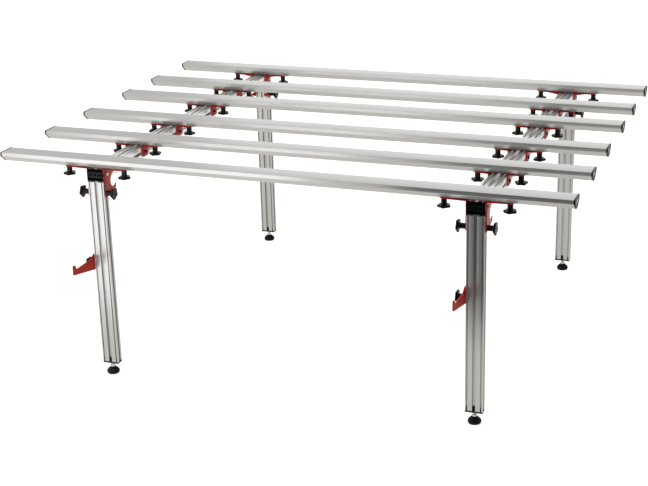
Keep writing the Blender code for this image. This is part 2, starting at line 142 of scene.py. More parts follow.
def linear(colour: str) -> tuple[float, float, float, float]:
    """Turn an sRGB hex colour into linear red, green, blue and alpha.

    Args:
        colour: six hex digits after a hash sign.

    Returns:
        The linear colour, with full alpha.
    """
    channels = []
    for start in (1, 3, 5):
        level = int(colour[start:start + 2], 16) / 255
        channels.append(level / 12.92 if level <= 0.04045 else ((level + 0.055) / 1.055) ** 2.4)
    return (*channels, 1.0)


def add_node(
    tree: bpy.types.NodeTree,
    kind: str,
    settings: dict[Any, Any] | None = None,
    links: dict[Any, bpy.types.NodeSocket] | None = None,
) -> bpy.types.Node:
    """Add one node to a tree, with its settings and links.

    Args:
        tree: the node tree.
        kind: the node's Blender type name.
        settings: values by property name, or by the input's name or number.
        links: source sockets by the input's name or number.

    Returns:
        The new node.
    """
    node = tree.nodes.new(kind)
    for key, value in (settings or {}).items():
        if isinstance(key, str) and hasattr(node, key):
            setattr(node, key, value)
        else:
            node.inputs[key].default_value = value
    for key, source in (links or {}).items():
        tree.links.new(source, node.inputs[key])
    return node


@dataclass(frozen=True)
class Finish:
    """A surface: two close colours mixed by a broad pattern, and a fine grain in its gloss and relief.

    The pattern sizes are millimetres along X, Y and Z. A drawn metal has a run, the way of its lines, and
    a stretch, how far they spread its gloss.
    """

    name: str
    colour: str
    shade: str
    roughness: float
    metallic: float
    grain_mm: tuple[float, float, float]
    mottle_mm: tuple[float, float, float]
    relief_mm: float
    gloss_spread: float = 0.06
    specular: float = 0.5
    run: Run | None = None
    stretch: float = 0.0

    def pattern(self, tree: bpy.types.NodeTree, size_mm: tuple[float, float, float], detail: float) -> Any:
        """Add a noise of the given size to the tree.

        Args:
            tree: the material's nodes.
            size_mm: the pattern's size along each axis.
            detail: how many finer layers the noise has.

        Returns:
            The noise's factor socket.
        """
        place = add_node(tree, "ShaderNodeTexCoord")
        scale = tuple(MILLIMETRES / size for size in size_mm)
        sized = add_node(tree, "ShaderNodeMapping", {"Scale": scale}, {"Vector": place.outputs["Object"]})
        settings = {"Scale": 1.0, "Detail": detail}
        noise = add_node(tree, "ShaderNodeTexNoise", settings, {"Vector": sized.outputs[0]})
        return noise.outputs["Fac"]

    def material(self) -> bpy.types.Material:
        """The finish as a material, made once and then shared.

        Returns:
            The material.
        """
        known = bpy.data.materials.get(self.name)
        if known is not None:
            return known
        made = bpy.data.materials.new(self.name)
        made.use_nodes = True
        tree = made.node_tree
        shader = tree.nodes["Principled BSDF"]
        grain = self.pattern(tree, self.grain_mm, GRAIN_LAYERS)
        mottle = self.pattern(tree, self.mottle_mm, MOTTLE_LAYERS)
        tone = add_node(
            tree,
            "ShaderNodeMix",
            {"data_type": "RGBA", MIX_FIRST: linear(self.colour), MIX_SECOND: linear(self.shade)},
            {MIX_FACTOR: mottle},
        )
        gloss = add_node(
            tree,
            "ShaderNodeMapRange",
            {"To Min": self.roughness - self.gloss_spread, "To Max": self.roughness + self.gloss_spread},
            {"Value": grain},
        )
        relief = add_node(
            tree,
            "ShaderNodeBump",
            {"Strength": 1.0, "Distance": self.relief_mm / MILLIMETRES},
            {"Height": grain},
        )
        if self.run is not None:
            axis = [float(number == self.run.value) for number in range(3)]
            settings = {"convert_from": "OBJECT", "convert_to": "WORLD", "Vector": axis}
            along = add_node(tree, "ShaderNodeVectorTransform", settings)
            tree.links.new(along.outputs[0], shader.inputs["Tangent"])
            shader.inputs["Anisotropic"].default_value = self.stretch
            shader.inputs["Anisotropic Rotation"].default_value = QUARTER_TURN
        shader.inputs["Metallic"].default_value = self.metallic
        shader.inputs["Specular IOR Level"].default_value = self.specular
        tree.links.new(tone.outputs[MIX_RESULT], shader.inputs["Base Color"])
        tree.links.new(gloss.outputs[0], shader.inputs["Roughness"])
        tree.links.new(relief.outputs[0], shader.inputs["Normal"])
        return made


def extruded_aluminium(run: Run, tone: Tone) -> Finish:
    """Satin anodised aluminium as it leaves the die, with fine lines along its length.

    The lines of a die are some tenths of a millimetre wide. They are drawn 5 mm wide, so that they show.

    Args:
        run: the way the extrusion runs.
        tone: how bright it is; the rails' brighter tone is partly painted light against the slats' shade.

    Returns:
        The finish for that direction.
    """
    grain = [LINE_LENGTH_MM if axis is run else LINE_WIDTH_MM for axis in Run]
    mottle = [CLOUD_LENGTH_MM if axis is run else CLOUD_WIDTH_MM for axis in Run]
    return Finish(
        name=f"anodised_aluminium_extruded_{run.name.lower()}",
        colour=tone.value[0],
        shade=tone.value[1],
        roughness=0.36,
        metallic=0.8,
        grain_mm=tuple(grain),
        mottle_mm=tuple(mottle),
        relief_mm=0.012,
        gloss_spread=0.04,
        run=run,
        stretch=0.75,
    )


# Powder coat on steel sheet: a strong red with the dull shine and the fine orange peel of the baked powder
RED_COAT = Finish(
    name="red_powder_coat_baked",
    colour="#B4251A",
    shade="#A01E14",
    roughness=0.38,
    metallic=0.0,
    grain_mm=(2.5, 2.5, 2.5),
    mottle_mm=(45.0, 45.0, 45.0),
    relief_mm=0.02,
    specular=0.12,
)
# Glass-filled nylon from a polished mould: deep black with a soft shine on every edge
BLACK_NYLON = Finish(
    name="black_nylon_moulded",
    colour="#06070A",
    shade="#030405",
    roughness=0.32,
    metallic=0.0,
    grain_mm=(1.2, 1.2, 1.2),
    mottle_mm=(12.0, 12.0, 12.0),
    relief_mm=0.01,
    specular=0.15,
)
# Polyethylene caps from a textured mould: black with a dull sheen
BLACK_CAP = Finish(
    name="black_polyethylene_moulded",
    colour="#050608",
    shade="#030405",
    roughness=0.42,
    metallic=0.0,
    grain_mm=(1.5, 1.5, 1.5),
    mottle_mm=(20.0, 20.0, 20.0),
    relief_mm=0.03,
    specular=0.12,
)
# The caps' sunk panel: its pale grey is a painted highlight, standing for the light that the sunk face
# catches more than the rim
CAP_PANEL_PAINTED_HIGHLIGHT = Finish(
    name="pale_panel_painted_highlight",
    colour="#D4D5D7",
    shade="#C2C3C6",
    roughness=0.55,
    metallic=0.0,
    grain_mm=(1.5, 1.5, 1.5),
    mottle_mm=(14.0, 14.0, 14.0),
    relief_mm=0.03,
)
# Moulded rubber: black, matt, with a fine grit
FOOT_RUBBER = Finish(
    name="black_rubber_moulded",
    colour="#090A0D",
    shade="#050608",
    roughness=0.55,
    metallic=0.0,
    grain_mm=(0.8, 0.8, 0.8),
    mottle_mm=(9.0, 9.0, 9.0),
    relief_mm=0.03,
    specular=0.12,
)
# Blackened steel from a hot oxide bath: near black, with a dull metal shine
BLACK_STEEL = Finish(
    name="black_oxide_steel",
    colour="#2A2829",
    shade="#1E1C1D",
    roughness=0.45,
    metallic=1.0,
    grain_mm=(1.0, 1.0, 1.0),
    mottle_mm=(6.0, 6.0, 6.0),
    relief_mm=0.01,
)
# Zinc-plated steel: a bright grey with cloudy patches from the bath
ZINC_STEEL = Finish(
    name="zinc_plated_steel",
    colour="#C9C8C4",
    shade="#AEADA8",
    roughness=0.32,
    metallic=1.0,
    grain_mm=(1.0, 1.0, 1.0),
    mottle_mm=(6.0, 6.0, 6.0),
    relief_mm=0.01,
)


def rounded(corners: Sequence[Point], radius: float | Sequence[float], steps: int = 4) -> Loop:
    """Round the corners of a closed outline.

    Args:
        corners: the outline's corners in order.
        radius: one radius for all corners, or one for each.
        steps: how many straight bits make each arc.

    Returns:
        The outline with an arc at each corner.
    """
    radii = [radius] * len(corners) if isinstance(radius, float) else list(radius)
    loop: Loop = []
    for index, (corner, size) in enumerate(zip(corners, radii)):
        here = Vector(corner)
        back = (Vector(corners[index - 1]) - here).normalized()
        onward = (Vector(corners[(index + 1) % len(corners)]) - here).normalized()
        half = back.angle(onward) / 2
        if size <= 0 or half > math.pi / 2 - WELD:
            loop.append((here.x, here.y))
            continue
        centre = here + (back + onward).normalized() * (size / math.sin(half))
        start = here + back * (size / math.tan(half)) - centre
        turn = math.copysign(math.pi - 2 * half, back.cross(onward) * -1)
        for step in range(steps + 1):
            angle = turn * step / steps
            spoke = Matrix.Rotation(angle, 2) @ start
            loop.append((centre.x + spoke.x, centre.y + spoke.y))
    return loop


def circle(radius: float, centre: Point = (0.0, 0.0), sides: int = 32) -> Loop:
    """A round outline."""
    turns = [2 * math.pi * step / sides for step in range(sides)]
    return [(centre[0] + radius * math.cos(turn), centre[1] + radius * math.sin(turn)) for turn in turns]


def oblong(length: float, width: float, centre: Point, sides: int = 24) -> Loop:
    """An outline with two round ends.

    Args:
        length: from end to end.
        width: across the ends.
        centre: its middle.
        sides: how many points it has.

    Returns:
        The outline.
    """
    ends = (length - width) / 2
    loop = []
    for step in range(sides):
        turn = 2 * math.pi * (step + 0.5) / sides
        across = math.copysign(ends, math.cos(turn)) + width / 2 * math.cos(turn)
        loop.append((centre[0] + across, centre[1] + width / 2 * math.sin(turn)))
    return loop


def hexagon(across_flats: float, sides: int) -> list[float]:
    """Radii of a hexagon at evenly spaced turns.

    Args:
        across_flats: its width between two flats.
        sides: how many turns there are.

    Returns:
        The radius at each turn.
    """
    sector = math.pi / 3
    turns = [(2 * math.pi * step / sides) % sector - sector / 2 for step in range(sides)]
    return [across_flats / 2 / math.cos(turn) for turn in turns]


# The axes of an outline's own across, up and thickness in each plane
PLANES: dict[str, Matrix] = {
    "XY": Matrix(((1, 0, 0), (0, 1, 0), (0, 0, 1))),
    "YZ": Matrix(((0, 0, 1), (1, 0, 0), (0, 1, 0))),
    "XZ": Matrix(((1, 0, 0), (0, 0, -1), (0, 1, 0))),
}


def cleaned(form: bmesh.types.BMesh, name: str, angle: float = SMOOTH_ANGLE) -> bpy.types.Mesh:
    """Weld a form, turn its faces out and shade it.

    Args:
        form: the shape, which is freed.
        name: the mesh's name.
        angle: edges sharper than this stay sharp.

    Returns:
        The finished mesh.
    """
    bmesh.ops.remove_doubles(form, verts=form.verts, dist=WELD)
    bmesh.ops.recalc_face_normals(form, faces=form.faces)
    mesh = bpy.data.meshes.new(name)
    form.to_mesh(mesh)
    form.free()
    mesh.shade_smooth()
    mesh.set_sharp_from_angle(angle=angle)
    return mesh


def plate(name: str, loops: Sequence[Loop], low: float, high: float, plane: str) -> bpy.types.Mesh:
    """A flat outline with holes, thick along its plane's axis.

    Args:
        name: the mesh's name.
        loops: the outline, then its holes.
        low: where the thickness starts.
        high: where it ends.
        plane: the plane that the outline is drawn in.

    Returns:
        The closed mesh.
    """
    curve = bpy.data.curves.new(name, "CURVE")
    curve.dimensions = "2D"
    curve.fill_mode = "BOTH"
    curve.extrude = (high - low) / 2
    for loop in loops:
        spline = curve.splines.new("POLY")
        spline.points.add(len(loop) - 1)
        for point, (across, up) in zip(spline.points, loop):
            point.co = (across, up, 0, 1)
        spline.use_cyclic_u = True
    shaper = bpy.data.objects.new(name, curve)
    filled = bpy.data.meshes.new_from_object(shaper)
    form = bmesh.new()
    form.from_mesh(filled)
    shift = (low + high) / 2 * (-1 if plane == "XZ" else 1)
    place = PLANES[plane].to_4x4() @ Matrix.Translation((0, 0, shift))
    bmesh.ops.transform(form, matrix=place, verts=form.verts)
    bpy.data.objects.remove(shaper)
    bpy.data.curves.remove(curve)
    bpy.data.meshes.remove(filled)
    return cleaned(form, name)


def loft(name: str, rings: Sequence[Ring], angle: float = SMOOTH_ANGLE) -> bpy.types.Mesh:
    """A closed skin over rings of equally many points.

    Args:
        name: the mesh's name.
        rings: the rings in order; the first and the last are closed by a face.
        angle: edges sharper than this stay sharp.

    Returns:
        The closed mesh.
    """
    form = bmesh.new()
    rows = [[form.verts.new(point) for point in ring] for ring in rings]
    for lower, upper in zip(rows, rows[1:]):
        for index in range(len(lower)):
            form.faces.new((lower[index - 1], lower[index], upper[index], upper[index - 1]))
    form.faces.new(rows[0])
    form.faces.new(rows[-1])
    return cleaned(form, name, angle)


def round_ring(radius: float | Sequence[float], height: float, sides: int) -> Ring:
    """A ring about Z.

    Args:
        radius: one radius for all points, or one for each.
        height: where it lies along Z.
        sides: how many points it has.

    Returns:
        The ring.
    """
    radii = [radius] * sides if isinstance(radius, float) else radius
    turns = [2 * math.pi * step / sides for step in range(sides)]
    return [Vector((r * math.cos(turn), r * math.sin(turn), height)) for r, turn in zip(radii, turns)]


def joined(name: str, meshes: Iterable[bpy.types.Mesh]) -> bpy.types.Mesh:
    """Several meshes in one.

    Args:
        name: the new mesh's name.
        meshes: the meshes, which are used up.

    Returns:
        The new mesh.
    """
    form = bmesh.new()
    for mesh in meshes:
        form.from_mesh(mesh)
        bpy.data.meshes.remove(mesh)
    return cleaned(form, name)


def eased(mesh: bpy.types.Mesh, width: float, segments: int = 2) -> bpy.types.Mesh:
    """The mesh with its sharp edges rounded.

    Args:
        mesh: a closed mesh.
        width: how much of each face the rounding takes.
        segments: how many bits make the rounding.

    Returns:
        The same mesh.
    """
    form = bmesh.new()
    form.from_mesh(mesh)
    sharp = [edge for edge in form.edges if edge.calc_face_angle(0) > SMOOTH_ANGLE]
    bmesh.ops.bevel(
        form, geom=sharp, offset=width, segments=segments, profile=0.5, affect="EDGES", clamp_overlap=True
    )
    name = mesh.name
    bpy.data.meshes.remove(mesh)
    return cleaned(form, name)


def bored(mesh: bpy.types.Mesh, cutter: bpy.types.Mesh, place: Matrix) -> bpy.types.Mesh:
    """The mesh with a hole in the shape of the cutter.

    Args:
        mesh: a closed mesh.
        cutter: a closed mesh, which is used up.
        place: where the cutter stands.

    Returns:
        The mesh with its hole.
    """
    base = bpy.data.objects.new("base", mesh)
    tool = bpy.data.objects.new("tool", cutter)
    tool.matrix_world = place
    for shaper in (base, tool):
        bpy.context.scene.collection.objects.link(shaper)
    step = base.modifiers.new("bore", "BOOLEAN")
    step.operation = "DIFFERENCE"
    step.solver = "EXACT"
    step.object = tool
    bpy.context.view_layer.update()
    depsgraph = bpy.context.evaluated_depsgraph_get()
    result = bpy.data.meshes.new_from_object(base.evaluated_get(depsgraph))
    name = mesh.name
    for shaper in (base, tool):
        bpy.data.objects.remove(shaper)
    form = bmesh.new()
    form.from_mesh(result)
    for used in (mesh, cutter, result):
        bpy.data.meshes.remove(used)
    return cleaned(form, name)


def body_of(node: str) -> str:
    """The body that a node of the frame belongs to."""
    return frame["nodes"][node]["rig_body"]


def put(
    name: str,
    mesh: bpy.types.Mesh,
    finish: Finish,
    body: str,
    place: Matrix | None = None,
    replaces: Sequence[str] = (),
) -> None:
    """Show a piece, dressed in its finish and riding on its body.

    Args:
        name: the piece's name.
        mesh: its shape.
        finish: its surface.
        body: the body that it moves with.
        place: where it stands, if its mesh isn't in place already.
        replaces: the frame's nodes that it stands for.
    """
    if not mesh.materials:
        mesh.materials.append(finish.material())
    piece = bpy.data.objects.new(name, mesh)
    bpy.context.scene.collection.objects.link(piece)
    if place is not None:
        piece.matrix_world = place
    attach(piece, body)
    if replaces:
        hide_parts(*replaces)
    log.info("%s rides on %s", name, body)


def middle(node: str) -> Vector:
    """The middle of a node's box."""
    low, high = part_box(node)
    return (low + high) / 2


def axis_of(node: str) -> Vector:
    """Where the axis that a knob or spindle turns about passes, from its joint."""
    body = body_of(node)
    return Vector(next(joint["pos_m"] for joint in frame["joints"] if joint["child"] == body))


@dataclass
class Slats:
    """Six hollow slats with a moulded cap in each end."""

    count: int = 6
    upright: float = 0.012
    base: float = 0.019
    wall: float = 0.002
    mouth: float = 0.0086
    cap_thickness: float = 0.0048
    cap_rim: float = 0.0003
    panel_sink: float = 0.0008
    panel_size: Point = (0.026, 0.011)
    panel_drop: float = 0.0125
    edge: float = 0.0012
    inner_edge: float = 0.00025

    def half_width(self) -> float:
        """Half the width of a slat."""
        low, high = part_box("slat_1")
        return (high.y - low.y) / 2

    def height(self) -> float:
        """The height of a slat."""
        low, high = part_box("slat_1")
        return high.z - low.z

    def outside(self, grow: float = 0.0) -> Loop:
        """The corners of a slat's section, from the top left, grown by a rim.

        Args:
            grow: how far the section is enlarged.

        Returns:
            The corners about the middle of the slat's top.
        """
        half, base, low = self.half_width() + grow, self.base / 2 + grow, -self.height() - grow
        left = [(-half, grow), (-half, -self.upright), (-base, low)]
        return left + [(-across, up) for across, up in reversed(left)]

    def section(self) -> Loop:
        """A slat's section, open along its underside for the clamp studs.

        Returns:
            The outline about the middle of the slat's top.
        """
        half, base, low = self.half_width(), self.base / 2, -self.height()
        wall, mouth = self.wall, self.mouth / 2
        slant = math.atan2(half - base, -low - self.upright)
        shift = wall / math.cos(slant) - wall * math.tan(slant)
        right = [(mouth, low), (base, low), (half, -self.upright), (half, 0.0)]
        inside = [
            (half - wall, -wall),
            (half - wall, -self.upright - shift + wall),
            (base - wall / 2, low + wall),
            (mouth, low + wall),
        ]
        outer = right + [(-across, up) for across, up in reversed(right)]
        inner = [(-across, up) for across, up in reversed(inside)] + inside
        loop = outer + inner
        corners = [point for point in outer if abs(point[0]) > mouth]
        radii = [self.edge if point in corners else self.inner_edge for point in loop]
        return rounded(loop, radii)

    def build(self) -> None:
        """Make the slats and their caps."""
        low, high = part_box("slat_1")
        end = high.x - self.cap_thickness
        section = self.section()
        bar = plate("slat", [section], low.x + self.cap_thickness, end, "YZ")
        panel_loop = oblong(*self.panel_size, (0.0, -self.panel_drop))
        rim_loop = rounded(self.outside(self.cap_rim), self.edge + self.cap_rim)
        rim = plate("slat_cap", [rim_loop, panel_loop], 0.0, self.cap_thickness, "YZ")
        panel = plate("slat_cap_panel", [panel_loop], 0.0, self.cap_thickness - self.panel_sink, "YZ")
        finish = extruded_aluminium(Run.ALONG_X, Tone.SATIN)
        for number in range(1, self.count + 1):
            node = f"slat_{number}"
            body = body_of(node)
            top = Vector((0, middle(node).y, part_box(node)[1].z))
            put(f"{node}_bar", bar, finish, body, Matrix.Translation(top), [node])
            for side, turn in (("right", 0.0), ("left", math.pi)):
                facing = Matrix.Translation(top) @ Matrix.Rotation(turn, 4, "Z")
                place = facing @ Matrix.Translation((end, 0, 0))
                put(f"{node}_cap_{side}", rim, BLACK_CAP, body, place)
                # The panel's pale grey is a painted highlight on the black cap
                put(f"{node}_cap_panel_{side}", panel, CAP_PANEL_PAINTED_HIGHLIGHT, body, place)


@dataclass
class Extrusion:
    """The section of a leg or rail: a slot along each face, with scores beside it on the wide faces."""

    slot_mouth: float = 0.0096
    slot_chamber: float = 0.0130
    slot_lip: float = 0.0056
    slot_depth: float = 0.0078
    score_width: float = 0.0037
    score_chamber: float = 0.0054
    score_lip: float = 0.0018
    score_depth: float = 0.0056
    score_offset: float = 0.0212
    wall: float = 0.0022
    edge: float = 0.0012
    groove_edge: float = 0.0003

    def groove(self, centre: float, steps: Sequence[Point], face: float) -> Loop:
        """A groove's corners in an upper face, from right to left.

        Args:
            centre: the groove's middle.
            steps: its half widths with their depths.
            face: the height of the face.

        Returns:
            The corners.
        """
        right = [(centre + half, face - depth) for half, depth in steps]
        return right + [(2 * centre - across, up) for across, up in reversed(right)]

    def loops(self, width: float, height: float) -> list[Loop]:
        """The section's outline and its two long hollows.

        Args:
            width: across the grooved faces.
            height: between the grooved faces.

        Returns:
            The outline, then the hollows.
        """
        mouth, chamber = self.slot_mouth / 2, self.slot_chamber / 2
        slot = [(mouth, 0.0), (mouth, self.slot_lip), (chamber, self.slot_lip), (chamber, self.slot_depth)]
        line, pocket = self.score_width / 2, self.score_chamber / 2
        score = [(line, 0.0), (line, self.score_lip), (pocket, self.score_lip), (pocket, self.score_depth)]
        face = height / 2
        half: Loop = [(width / 2, face)]
        half += self.groove(self.score_offset, score, face)
        half += self.groove(0.0, slot, face)
        half += self.groove(-self.score_offset, score, face)
        half.append((-width / 2, face))
        half += [(-up, across) for across, up in self.groove(0.0, slot, width / 2)]
        corners = half + [(-across, -up) for across, up in half]
        outer_corner = {(sx * width / 2, sy * face) for sx in (-1, 1) for sy in (-1, 1)}
        radii = [self.edge if corner in outer_corner else self.groove_edge for corner in corners]
        inner = chamber + self.wall
        outer = min(self.score_offset - pocket, width / 2 - self.slot_depth) - self.wall / 2
        top = face - self.wall
        hollow = rounded([(inner, -top), (outer, -top), (outer, top), (inner, top)], self.edge)
        return [rounded(corners, radii, 3), hollow, [(-across, up) for across, up in hollow]]


# The rails' grooves are deeper than the legs', and their scores are nearer the slot
RAIL_SECTION = Extrusion(
    slot_lip=0.0035,
    slot_depth=0.0110,
    score_width=0.0038,
    score_chamber=0.0062,
    score_depth=0.0105,
    score_offset=0.0182,
)


@dataclass
class Rails:
    """Two grooved rails with a cap on each end."""

    extrusion: Extrusion = field(default_factory=lambda: RAIL_SECTION)
    cap_thickness: float = 0.003
    cap_edge: float = 0.002
    rim: float = 0.0022
    rim_rise: float = 0.0006
    hole_radius: float = 0.0036
    hole_spread: float = 0.0155
    hole_sink: float = 0.0004

    def build(self) -> None:
        """Make the rails and their caps."""
        low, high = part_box("rail_left")
        width, height = high.x - low.x, high.z - low.z
        bar = plate("rail", self.extrusion.loops(width, height), low.y, high.y, "XZ")
        cap = self.cap(width, height)
        # The rails' brighter tone is partly painted light that lifts the shade the slats cast on them
        finish = extruded_aluminium(Run.ALONG_Y, Tone.BRIGHT)
        for rail in Rail:
            node = f"rail_{rail.value}"
            centre = middle(node)
            place = Matrix.Translation((centre.x, 0, centre.z))
            put(f"{node}_bar", bar, finish, body_of(node), place, [node])
            for end, edge in ((End.FRONT, low.y), (End.BACK, high.y)):
                turn = 0.0 if end is End.FRONT else math.pi
                seat = Matrix.Translation((centre.x, edge, centre.z)) @ Matrix.Rotation(turn, 4, "Z")
                put(f"{node}_cap_{end.value}", cap, BLACK_CAP, body_of(node), seat)

    def cap(self, width: float, height: float) -> bpy.types.Mesh:
        """A rail's cap, with a row of small sunk holes.

        Args:
            width: the rail's width.
            height: the rail's height.

        Returns:
            The cap, whose back is at zero and whose face is towards minus Y.
        """
        half, face = width / 2, height / 2
        corners = [(1, -1), (1, 1), (-1, 1), (-1, -1)]
        outline = rounded([(half * across, face * up) for across, up in corners], self.cap_edge)
        inside = [((half - self.rim) * across, (face - self.rim) * up) for across, up in corners]
        holes = [circle(self.hole_radius, (step * self.hole_spread, 0.0), 24) for step in (-1, 0, 1)]
        panel = self.rim_rise - self.cap_thickness
        opening = rounded(inside, self.cap_edge / 2)
        layers = [
            plate("rail_cap_back", [outline], -self.hole_sink, 0.0, "XZ"),
            plate("rail_cap_panel", [outline, *holes], panel, -self.hole_sink, "XZ"),
            plate("rail_cap_rim", [outline, opening], -self.cap_thickness, panel, "XZ"),
        ]
        return joined("rail_cap", layers)


@dataclass
class Legs:
    """Four folding legs, each with a cap under it."""

    extrusion: Extrusion = field(default_factory=Extrusion)
    cap_thickness: float = 0.0052
    cap_edge: float = 0.0015
    plug_rise: float = 0.011
    plug_slack: float = 0.0003
    stud_hole: float = 0.0065
    bore: float = 0.0053

    def build(self) -> None:
        """Make the legs and their caps."""
        low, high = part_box("leg_front_left")
        pivot = axis_of("lock_spindle_front_left").z
        width, depth = high.x - low.x, high.y - low.y
        bar = plate("leg", self.extrusion.loops(width, depth), low.z + self.cap_thickness, high.z, "XY")
        drill = loft("leg_bore", [round_ring(self.bore, step * width, 24) for step in (-1, 1)])
        across = Matrix.Translation((0, 0, pivot)) @ Matrix.Rotation(math.pi / 2, 4, "Y")
        bar = bored(bar, drill, across)
        cap = self.cap(width, depth)
        finish = extruded_aluminium(Run.ALONG_Z, Tone.SATIN)
        for end in End:
            for rail in Rail:
                node = f"leg_{end.value}_{rail.value}"
                centre = middle(node)
                place = Matrix.Translation((centre.x, centre.y, 0))
                put(f"{node}_bar", bar, finish, body_of(node), place, [node])
                seat = Matrix.Translation((centre.x, centre.y, low.z))
                put(f"{node}_cap", cap, BLACK_CAP, body_of(node), seat)

    def cap(self, width: float, depth: float) -> bpy.types.Mesh:
        """A leg's cap, with plugs that reach up its grooves.

        Args:
            width: the leg's width.
            depth: the leg's depth.

        Returns:
            The cap, whose underside is at zero.
        """
        half, face = width / 2, depth / 2
        outline = rounded([(half, -face), (half, face), (-half, face), (-half, -face)], self.cap_edge)
        base = plate("leg_cap_base", [outline, circle(self.stud_hole)], 0.0, self.cap_thickness, "XY")
        parts = [base]
        top = self.cap_thickness + self.plug_rise
        section = self.extrusion
        grooves = [(0.0, section.slot_mouth, section.slot_lip)]
        for offset in (-section.score_offset, section.score_offset):
            grooves.append((offset, section.score_width, section.score_depth))
        for centre, mouth, deep in grooves:
            left, right = centre - mouth / 2 + self.plug_slack, centre + mouth / 2 - self.plug_slack
            for side in (-1, 1):
                near, far = side * (face - deep + self.plug_slack), side * (face - self.plug_slack)
                loop = [(left, near), (right, near), (right, far), (left, far)]
                parts.append(plate("leg_cap_plug", [loop], self.cap_thickness, top, "XY"))
        return joined("leg_cap", parts)


@dataclass
class StarKnobs:
    """The star knobs that clamp the slats and the hooks, and the spindles that lock the legs."""

    diameter: float = 0.040
    lobes: int = 5
    lobe_depth: float = 0.0032
    head: float = 0.0075
    rounding: float = 0.0028
    hub_radius: float = 0.0085
    hub_flare: float = 0.0015
    hub_length: float = 0.0190
    stud_radius: float = 0.004
    spindle_radius: float = 0.005
    dish_floor: float = 0.00675
    dish_radius: float = 0.0075
    dish_lip: float = 0.00795
    dish_sink: float = 0.0010
    dish_rise: float = 0.0006
    sides: int = 60
    round_steps: int = 5
    flare_steps: int = 4
    stop_turn: float = math.radians(137.5)

    def star(self, inset: float) -> list[float]:
        """Radii of the lobed head.

        Args:
            inset: how far they are drawn in.

        Returns:
            The radius at each turn.
        """
        radii = []
        for step in range(self.sides):
            turn = 2 * math.pi * step / self.sides
            hollow = self.lobe_depth * (1 - math.cos(self.lobes * turn)) / 2
            radii.append(self.diameter / 2 - hollow - inset)
        return radii

    def skin(self) -> list[tuple[Any, float]]:
        """The skin of a knob, from the middle of its face to its seat.

        Returns:
            The rings' radii, with their distances below the seat.
        """
        face, back = self.hub_length + self.head, self.hub_length
        rings: list[tuple[Any, float]] = [
            (self.dish_floor, face - self.dish_sink),
            (self.dish_radius, face - self.dish_sink + self.dish_rise),
            (self.dish_lip, face),
        ]
        turns = [math.pi / 2 * step / self.round_steps for step in range(self.round_steps + 1)]
        sines = [self.rounding * (1 - math.sin(turn)) for turn in turns]
        cosines = [self.rounding * (1 - math.cos(turn)) for turn in turns]
        rings += [(self.star(inset), face - drop) for inset, drop in zip(sines, cosines)]
        rings += [(self.star(inset), back + rise) for inset, rise in zip(cosines, sines)]
        for step in range(self.flare_steps + 1):
            share = step / self.flare_steps
            radius = self.hub_radius + self.hub_flare * (1 - share) ** 2
            rings.append((radius, back - self.hub_flare * 2 * share))
        rings.append((self.hub_radius, 0.0))
        return rings

    def knob(self, length: float) -> bpy.types.Mesh:
        """A knob about its stud, seated at zero with its head below.

        Args:
            length: how far the stud reaches above the seat.

        Returns:
            The knob's mesh.
        """
        rings = [round_ring(radius, -drop, self.sides) for radius, drop in self.skin()]
        rings += [round_ring(self.stud_radius, height, self.sides) for height in (0.0, length)]
        return loft("star_knob", rings)

    def spindle(self, seat: float) -> bpy.types.Mesh:
        """A spindle along Z with a knob at each end.

        Args:
            seat: the knobs' seats above and below the middle.

        Returns:
            The spindle's mesh.
        """
        lower = [round_ring(radius, -seat - drop, self.sides) for radius, drop in self.skin()]
        upper = [round_ring(radius, seat + drop, self.sides) for radius, drop in reversed(self.skin())]
        shaft = [round_ring(self.spindle_radius, height, self.sides) for height in (-seat, seat)]
        return loft("lock_spindle", lower + shaft + upper)

    def build(self) -> None:
        """Make every knob and spindle, each turned to where its thread stopped."""
        nodes = frame["nodes"]
        reach = self.hub_length + self.head
        low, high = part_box("clamp_knob_1_left_outer")
        knob = self.knob(high.z - low.z - reach)
        for number, node in enumerate(sorted(name for name in nodes if name.startswith("clamp_knob"))):
            axis = axis_of(node)
            seat = Matrix.Translation((axis.x, axis.y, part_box(node)[0].z + reach))
            place = seat @ Matrix.Rotation(number * self.stop_turn, 4, "Z")
            put(f"{node}_star", knob, BLACK_NYLON, body_of(node), place, [node])
        sideways = Matrix.Rotation(math.pi / 2, 4, "Y")
        for rail in Rail:
            node = f"hook_knob_{rail.value}"
            axis = axis_of(node)
            place = Matrix.Translation((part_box(node)[0].x + reach, axis.y, axis.z)) @ sideways
            put(f"{node}_star", knob, BLACK_NYLON, body_of(node), place, [node])
        low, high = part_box("lock_spindle_front_left")
        spindle = self.spindle((high.x - low.x) / 2 - reach)
        for end in End:
            for rail in Rail:
                node = f"lock_spindle_{end.value}_{rail.value}"
                stop = Matrix.Rotation(end.inward * self.stop_turn, 4, "Z")
                place = Matrix.Translation(axis_of(node)) @ sideways @ stop
                put(f"{node}_stars", spindle, BLACK_NYLON, body_of(node), place, [node])


